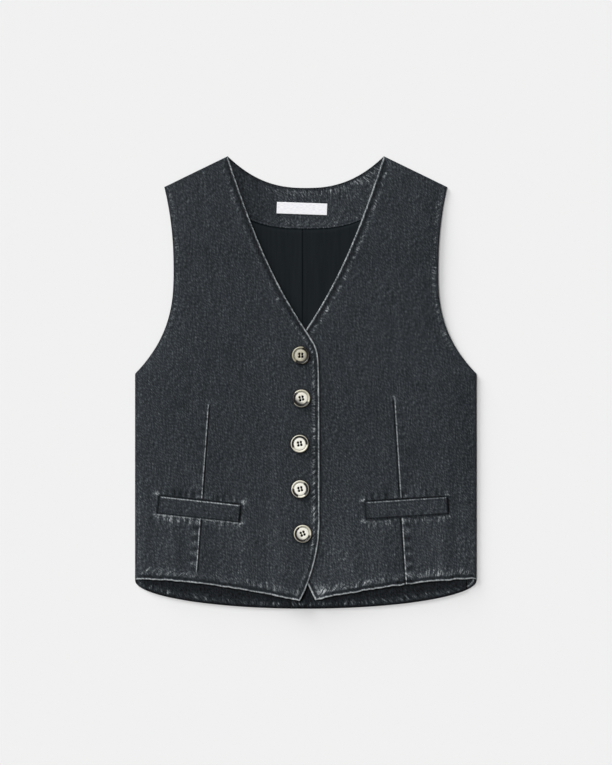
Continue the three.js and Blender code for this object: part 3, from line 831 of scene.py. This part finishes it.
def make_front(name):
    front = FRONTS[name]
    seed = front["seed"]
    grid = front_grid(front)
    plan = join_grids([grid])
    points = plan[0]
    out, y = front["way"] * points[:, 0], points[:, 1]
    near = {
        "hem": beside(points, grid[0]),
        "inner": beside(points, grid[:, 0]),
        "side": beside(points, grid[:, -1]),
        "shoulder": beside(points, grid[-1]),
    }
    from_inner, along_inner = near["inner"]
    near["inner"] = (from_inner, INNER_PUCKER_RATE * along_inner)
    edge = np.min([d for d, _ in near.values()], axis=0)
    in_v, armhole = smoothstep(50, 80, y), smoothstep(20, 60, y)
    along_welt, over_welt = welt_frame(front, points)
    beyond = np.abs(along_welt) - front["welt"]["width"] / 2
    above = np.abs(over_welt) - front["welt"]["height"] / 2
    outside = np.hypot(np.clip(beyond, 0, None), np.clip(above, 0, None))
    under_welt = (beyond < 0) & (above < 0)
    near["welt"] = (np.where(under_welt, FAR_AWAY, outside), along_welt + WELT_START)
    below = smoothstep(2, -2, over_welt)
    # The fronts' sides carry painted shade on their folds instead of bleach, and each dip a line
    # of painted shade.
    wear = {
        "hem": (0.54, 0.24, front["hem_puckers"], 6, 22),
        "inner": (lerp(0.55, 0.41, in_v), 0.22, 0.6, lerp(6.5, 9, in_v), lerp(11, 15, in_v)),
        "side": (-0.08, 0.04, lerp(0.35, front["armhole_puckers"], armhole), 2.8, 11),
        "shoulder": (0.0, 0.04, 0.3, 3, 12),
        "welt": (0, 0, lerp(0.4, 0.8, below) * smoothstep(3, -1, beyond), 2, lerp(12, 16, below)),
    }
    away, along, nearest_wear = nearest_edge(near, wear)
    relief, values = seam_wear_and_shade(away, along, nearest_wear, seed)
    dart_relief, dart_shade = dart_wear_and_shade(front, out, y)
    worn = values["worn"] + dart_shade + welt_seam_wear_and_shade(front, along_welt, over_welt)
    for spot_out, spot_y, radius, strength in front["rubbed"]:
        spot = np.exp(-((out - spot_out) ** 2 + (y - spot_y) ** 2) / radius**2)
        worn += RUBBED_PALE * strength * spot
        values["roped"] += RUBBED_CREASED * strength * spot
    v_shift, v_strength = front["v_stitch"]
    stitched = band(from_inner - v_shift * in_v, 3.0, 6.2, 10.5) * lerp(1, v_strength, in_v)
    stitched *= 0.75 + 0.25 * wander(along_inner, 9, seed + 12)
    values["roped"] += 0.5 * stitched
    # Painted shade round each button on the right front, and beside the right front's edge on the
    # left front.
    if front["over"]:
        for button in BUTTONS:
            reach = np.hypot(points[:, 0] - button["x"], y - button["y"])
            worn -= CLOSE_SHADE * band(reach, 10, 11.8, 14.5)
    else:
        worn -= CLOSE_SHADE * band(out + inner_out(FRONTS["right"], y), -1.0, 0.9, 2.8)
    washed = smoothstep(-60, -230, y)
    values["worn"] = worn + washed * (0.03 + 0.05 * wander(out, 13, seed + 5))
    underside, relief = front_underside(front, out, y), relief + dart_relief
    return add_cloth(
        f"front_panel_{name}", plan, edge, underside, FRONT_CLOTH, black_denim, relief, values
    )


front_left_panel = make_front("left")
sewn_sheet(front_left_panel, "front_left")
front_right_panel = make_front("right")
sewn_sheet(front_right_panel, "front_right")


# The welts
# Two folded strips of the denim, each sewn over the slit of a pocket and across the dart.
# The upper edge is a fold that the wash has bleached. The ends are sewn down square.

WELT_CLOTH = 1.5


def make_welt(name):
    front = FRONTS[name]
    welt = front["welt"]
    way = front["way"]
    centre = (way * welt["out"], welt["y"])
    grid = strip_grid(welt["width"], welt["height"], way * welt["fall"], centre, 60, 13)
    # Painted shade darkens the strip's lower edge and both ends, where it meets the front.
    seam = (-0.14, 0.04, 0.1, 3, 9)
    wear = {"lower": seam, "upper": (0.0, 0.04, 0.1, 3, 9), "first": seam, "last": seam}
    plan, away, relief, values = worn_strip(grid, wear, front["seed"] + 20)
    x, y = plan[0].T
    along_welt, over_welt = welt_frame(front, plan[0])
    from_top = welt["height"] / 2 - over_welt
    flaw = 0.85 + 0.15 * wander(along_welt, 4, front["seed"] + 21)
    inside = smoothstep(0, 2, welt["width"] / 2 - np.abs(along_welt))
    crest = welt["crest"] * flaw * inside * band(from_top, 0.2, 1.1, 2.3)
    values["worn"] = values["worn"] + crest + 0.03 + 0.05 * wander(from_top, 3, front["seed"] + 22)
    underside = front_underside(front, way * x, y) + FRONT_CLOTH + LAYER_GAP
    return add_cloth(
        f"welt_strip_{name}", plan, away, underside, WELT_CLOTH, black_denim, relief, values
    )


for name, panel in (("left", front_left_panel), ("right", front_right_panel)):
    sewn_sheet(make_welt(name), f"welt_{name}")


# The buttonholes
# Five slits in the right front, each closed by two rows of purl stitches in black polyester
# thread that meet over the slit, with a bar at the end.

PURL_RADIUS, PURL_PITCH = 0.55, 0.7
HOLE_LENGTH = 19.0


def sewing_thread():
    """Spun polyester thread, dyed black: matt, with its twist too fine to show."""
    sockets = {"Roughness": 0.9, "IOR": 1.55, "Specular IOR Level": 0.03}
    made, tree, shader = new_material("black_sewing_thread", sockets)
    place = add_node(tree, "ShaderNodeTexCoord").outputs["Object"]
    links = {"Vector": place, "Scale": 2500.0, "Detail": 0.0}
    fuzz = add_node(tree, "ShaderNodeTexNoise", links).outputs[0]
    stops = [(0.3, "#030304"), (0.7, "#090a0b")]
    colour = add_node(tree, "ShaderNodeValToRGB", {"Fac": fuzz}, stops=stops)
    tree.links.new(colour.outputs["Color"], shader.inputs["Base Color"])
    return made


def tube(path, radii, sides=8):
    """A round tube along a path of points, closed at both ends. Points and faces."""
    path = np.asarray(path, dtype=float)
    radii = np.broadcast_to(radii, len(path))
    forward = np.gradient(path, axis=0)
    forward /= np.linalg.norm(forward, axis=1)[:, None]
    first = np.cross(forward, (0.3, 0.2, 0.93))
    first /= np.linalg.norm(first, axis=1)[:, None]
    second = np.cross(forward, first)
    angle = np.linspace(0, 2 * np.pi, sides, endpoint=False)
    ring = np.cos(angle)[:, None] * first[:, None] + np.sin(angle)[:, None] * second[:, None]
    points = (path[:, None] + radii[:, None, None] * ring).reshape(-1, 3)
    faces = []
    for k in range(len(path) - 1):
        for j in range(sides):
            a, b = k * sides + j, k * sides + (j + 1) % sides
            faces.append([a, b, b + sides, a + sides])
    last = (len(path) - 1) * sides
    faces.append(list(range(sides))[::-1])
    faces.append([last + j for j in range(sides)])
    return points, faces


def joined(parts):
    """Several sets of points and faces as one."""
    points, faces, passed = [], [], 0
    for part_points, part_faces in parts:
        points.append(part_points)
        faces += [[corner + passed for corner in face] for face in part_faces]
        passed += len(part_points)
    return np.concatenate(points), faces


def front_top(x, y):
    return float(front_underside(FRONTS["right"], -x, np.float64(y))) + FRONT_CLOTH


black_thread = sewing_thread()
rows = []
for button in BUTTONS:
    shift = np.linspace(-HOLE_LENGTH / 2, HOLE_LENGTH / 2, 2 * int(HOLE_LENGTH / PURL_PITCH))
    for side in (-1, 1):
        x = button["x"] + shift
        y = np.full(len(x), button["y"] + side * PURL_RADIUS * 1.1)
        z = [front_top(a, b) + 0.15 for a, b in zip(x, y)]
        beads = PURL_RADIUS * (1 + 0.18 * np.cos(np.pi * np.arange(len(x))))
        rows.append(tube(np.column_stack([x, y, z]), beads))
    bar_x = button["x"] + HOLE_LENGTH / 2
    bar_y = button["y"] + np.linspace(-1.6, 1.6, 9)
    bar = [(bar_x, y, front_top(bar_x, y) + 0.2) for y in bar_y]
    rows.append(tube(bar, PURL_RADIUS))
buttonholes = add_mesh("buttonhole_stitches", *joined(rows), black_thread)
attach(buttonholes, "root")


# The buttons
# Cast polyester resin made to look like bone and horn: cream faces, with dark streaks that
# run round parts of the raised rim. Turned with a shallow dish and drilled with four holes,
# then tumbled, so that the edges are soft.

HOLE_RADIUS, HOLE_SPREAD = 1.5, 3.7
# Radius and height, from the middle of the face over the rim to the middle of the underside.
RIM_PROFILE = [
    (0.0, 2.75),
    (2.0, 2.75),
    (4.5, 2.78),
    (6.6, 2.85),
    (7.5, 2.7),
    (7.9, 2.2),
    (8.3, 1.95),
    (8.7, 2.2),
    (9.1, 3.2),
    (9.5, 3.8),
    (9.9, 4.0),
    (10.4, 3.85),
    (10.8, 3.3),
    (11.0, 2.6),
    (11.0, 1.9),
    (10.6, 1.2),
    (9.6, 0.5),
    (8.5, 0.05),
    (7.5, 0.0),
    (4.0, 0.0),
    (0.0, 0.0),
]
BUTTON_SIDES = 72
# Each button's dark streaks, in degrees anticlockwise from +X: "crescents" run along the
# groove and up the inside of the rim, and "horn" covers the rim. "yellow" is the tone of the
# face, and "cloud" a grey patch of painted shade on it: which way it lies, and how dark it is.
HORN = [
    dict(
        crescents=[(-75, 80), (225, 300)],
        horn=[(-35, 74), (230, 280)],
        yellow=0.8,
        cloud=(-20, 0.55),
    ),
    dict(crescents=[(125, 335)], horn=[(138, 214)], yellow=0.2, cloud=(235, 0.85)),
    dict(crescents=[(-8, 212)], horn=[], yellow=0.0, cloud=(0, 0.0)),
    dict(crescents=[(-55, 60), (175, 255)], horn=[], yellow=0.0, cloud=(0, 0.0)),
    dict(crescents=[(120, 350)], horn=[], yellow=0.1, cloud=(215, 0.45)),
]


def bone_resin():
    """Polyester resin, cast with a bone pattern and polished: cream with soft veins about
    4 mm apart, and near-black where "horn" says: its streaks, with painted shade in the groove
    and on parts of the face. It has a clear gloss."""
    sockets = {"Roughness": 0.35, "IOR": 1.54}
    made, tree, shader = new_material("bone_and_horn_resin", sockets)
    place = add_node(tree, "ShaderNodeTexCoord").outputs["Object"]
    links = {"Vector": place, "Scale": (0.0045, 0.0018, 0.003)}
    veins = add_node(tree, "ShaderNodeMapping", links, vector_type="TEXTURE").outputs[0]
    links = {"Vector": veins, "Scale": 1.0, "Detail": 3.0, "Distortion": 0.8}
    marble = add_node(tree, "ShaderNodeTexNoise", links).outputs[0]
    amounts = {}
    for key, swing in (("yellow", 0.3), ("horn", 0.1)):
        value = add_node(tree, "ShaderNodeAttribute", attribute_name=key).outputs["Fac"]
        links = {0: marble, 1: swing, 2: value}
        varied = add_node(tree, "ShaderNodeMath", links, operation="MULTIPLY_ADD").outputs[0]
        links = {0: varied, 1: 0.5 * swing}
        centred = add_node(tree, "ShaderNodeMath", links, operation="SUBTRACT").outputs[0]
        amounts[key] = centred
    stops = [(0.0, "#e6e4d9"), (0.5, "#c6c1ae"), (1.0, "#9c9782")]
    cream = add_node(tree, "ShaderNodeValToRGB", {"Fac": amounts["yellow"]}, stops=stops)
    links = {"Value": amounts["horn"], "From Min": 0.08, "From Max": 0.85}
    depth = add_node(tree, "ShaderNodeMapRange", links).outputs[0]
    # Sockets 6 and 7 of a colour mix are its two colours, and output 2 is the result.
    links = {0: depth, 6: cream.outputs["Color"], 7: linear("#1c1815")}
    mix = add_node(tree, "ShaderNodeMix", links, data_type="RGBA", clamp_factor=True)
    tree.links.new(mix.outputs[2], shader.inputs["Base Color"])
    return made


def turned_disc(profile, sides):
    """A solid of revolution from (radius, height) pairs that start and end at radius 0."""
    angle = np.linspace(0, 2 * np.pi, sides, endpoint=False)
    points = [(0.0, 0.0, profile[0][1])]
    for radius, z in profile[1:-1]:
        points += [(radius * math.cos(t), radius * math.sin(t), z) for t in angle]
    points.append((0.0, 0.0, profile[-1][1]))
    faces = []
    rings = len(profile) - 2
    for j in range(sides):
        k = (j + 1) % sides
        faces.append([0, 1 + j, 1 + k])
        for ring in range(rings - 1):
            a, b = 1 + ring * sides + j, 1 + ring * sides + k
            faces.append([a, a + sides, b + sides, b])
        low = 1 + (rings - 1) * sides
        faces.append([low + j, len(points) - 1, low + k])
    return points, faces


def drilled_button(name, finish):
    """A turned disc with four holes cut through it."""
    disc = add_mesh(name, *turned_disc(RIM_PROFILE, BUTTON_SIDES), finish)
    drills = []
    for way in (-0.5, 0.5):
        for up in (-0.5, 0.5):
            x, y = way * HOLE_SPREAD, up * HOLE_SPREAD
            drills.append(tube([(x, y, -3), (x, y, 0), (x, y, 3), (x, y, 7)], HOLE_RADIUS, 20))
    drill = add_mesh("drill", *joined(drills), finish)
    cut = disc.modifiers.new("drill", "BOOLEAN")
    cut.operation, cut.object, cut.solver = "DIFFERENCE", drill, "EXACT"
    graph = bpy.context.evaluated_depsgraph_get()
    cut_mesh = bpy.data.meshes.new_from_object(disc.evaluated_get(graph))
    disc.modifiers.clear()
    disc.data = cut_mesh
    bpy.data.objects.remove(drill)
    return disc


def in_arcs(angle, arcs):
    """1 inside any of the arcs, given in degrees, and 0 outside them, with soft ends."""
    share = np.zeros(len(angle))
    for start, end in arcs:
        middle, reach = (start + end) / 2, (end - start) / 2
        turn = np.abs((angle - middle + 180) % 360 - 180)
        share = np.maximum(share, 1 - smoothstep(reach - 8, reach + 4, turn))
    return share


resin = bone_resin()
for number, (button, horn) in enumerate(zip(BUTTONS, HORN), start=1):
    node = f"button_{number}"
    disc = drilled_button(f"horn_button_{number}", resin)
    mesh = disc.data
    places = np.empty(len(mesh.vertices) * 3, dtype=np.float32)
    mesh.vertices.foreach_get("co", places)
    places = places.reshape(-1, 3) * 1000
    radius = np.hypot(places[:, 0], places[:, 1])
    angle = np.degrees(np.arctan2(places[:, 1], places[:, 0])) + button["turn"]
    # Painted shade darkens the groove all round.
    groove = 0.6 * band(radius, 7.3, 8.2, 9.1)
    crescent = smoothstep(7.2, 7.8, radius) * smoothstep(10.5, 9.7, radius)
    crescent *= in_arcs(angle, horn["crescents"])
    streak = smoothstep(8.4, 9.0, radius) * in_arcs(angle, horn["horn"])
    # The cloud is a grey patch of painted shade on the face.
    towards, depth = horn["cloud"]
    across = radius * np.cos(np.radians(angle - towards))
    cloud = depth * smoothstep(0, 7.5, across) * smoothstep(8.2, 7.6, radius)
    horn_and_shade = np.max([groove, 1.2 * crescent, 1.1 * streak, cloud], axis=0)
    yellow = horn["yellow"] + 0.4 * smoothstep(8.2, 9.4, radius)
    set_values(mesh, {"horn": horn_and_shade, "yellow": yellow})
    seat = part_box(node)[0][2]
    disc.location = (button["x"] * 0.001, button["y"] * 0.001, seat)
    disc.rotation_euler = (0, 0, math.radians(button["turn"]))
    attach(disc, "root")
    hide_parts(node)


# The button thread
# Each button is sewn on through the right front's buttonhole with two loops of thread, which
# run up and down between its holes and end in a short shank under it.

THREAD_RADIUS, THREAD_STAND = 0.32, 3.2
# Down in the holes the loops are drawn thicker, because they fill them.
THREAD_IN_HOLE, SHANK_RADIUS = 1.0, 2.2
stitches = []
for number, button in enumerate(BUTTONS, start=1):
    seat = 1000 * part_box(f"button_{number}")[0][2]
    t = np.linspace(0, 1, 25)
    b = HOLE_SPREAD * (smoothstep(0.25, 0.75, t) - 0.5)
    z = seat - 0.2 + THREAD_STAND * smoothstep(0, 0.3, t) * smoothstep(1, 0.7, t)
    on_face = smoothstep(0.12, 0.3, t) * smoothstep(0.88, 0.7, t)
    thickness = lerp(THREAD_IN_HOLE, THREAD_RADIUS, on_face)
    for way in (-0.5, 0.5):
        for shift in (-0.4, 0.4):
            a = way * HOLE_SPREAD + shift
            loop = turned(a, b, button["turn"], (button["x"], button["y"]))
            stitches.append(tube(np.column_stack([loop, z]), thickness))
    shank = [(button["x"], button["y"], seat + up) for up in (-0.4, -0.2, 0.0, 0.2)]
    stitches.append(tube(shank, SHANK_RADIUS, 16))
button_thread = add_mesh("button_thread", *joined(stitches), black_thread)
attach(button_thread, "root")


# The surface, the light and the camera
# The vest lies on a pale board in a white room. A large softbox hangs almost overhead, and
# light from a low window comes over the upper left shoulder, so that edges cast a soft shadow
# to the lower right. The camera looks straight down through a long lens.

BOARD_REACH = 4000.0
ROOM_GLOW = 0.09
# Each light: strength, width as an angle, and how far it is turned about X and Y.
SOFT_LIGHTS = {
    "overhead_softbox": (2.14, 24, -14, -14.4),
    "low_window": (3.45, 32, -46.2, -61.1),
}
LENS, SENSOR, VIEW_LENGTH, CAMERA_X, FOCUS_HEIGHT = 200.0, 36.0, 956.25, 0.3, 6.0


def pale_board():
    """Painted board: smooth, matt and even."""
    sockets = {"Base Color": (0.8, 0.8, 0.8, 1), "Roughness": 0.95, "Specular IOR Level": 0.0}
    made, tree, shader = new_material("pale_board", sockets)
    place = add_node(tree, "ShaderNodeTexCoord").outputs["Object"]
    links = {"Vector": place, "Scale": 300.0, "Detail": 2.0}
    tooth = add_node(tree, "ShaderNodeTexNoise", links).outputs[0]
    links = {"Height": tooth, "Strength": 0.05, "Distance": 0.0001}
    bump = add_node(tree, "ShaderNodeBump", links)
    tree.links.new(bump.outputs[0], shader.inputs["Normal"])
    return made


square = ((-1, -1), (1, -1), (1, 1), (-1, 1))
board_corners = [(a * BOARD_REACH, b * BOARD_REACH, 0) for a, b in square]
board = add_mesh("board", board_corners, [[0, 1, 2, 3]], pale_board())

room = bpy.data.worlds.new("white_room")
room.use_nodes = True
sky = room.node_tree.nodes["Background"]
sky.inputs["Color"].default_value = (1.0, 1.0, 1.0, 1)
sky.inputs["Strength"].default_value = ROOM_GLOW
bpy.context.scene.world = room

for name, (strength, width, about_x, about_y) in SOFT_LIGHTS.items():
    light = bpy.data.lights.new(name, "SUN")
    light.energy = strength
    light.angle = math.radians(width)
    lamp = bpy.data.objects.new(name, light)
    lamp.rotation_euler = (math.radians(about_x), math.radians(about_y), 0)
    bpy.context.collection.objects.link(lamp)

view = bpy.data.cameras.new("camera")
view.lens = LENS
view.sensor_width = SENSOR
view.clip_end = 50
camera = bpy.data.objects.new("camera", view)
distance = VIEW_LENGTH * LENS / SENSOR + FOCUS_HEIGHT
camera.location = (0.001 * CAMERA_X, 0.0, 0.001 * distance)
bpy.context.collection.objects.link(camera)
bpy.context.scene.camera = camera
bpy.context.scene.view_settings.view_transform = "Standard"
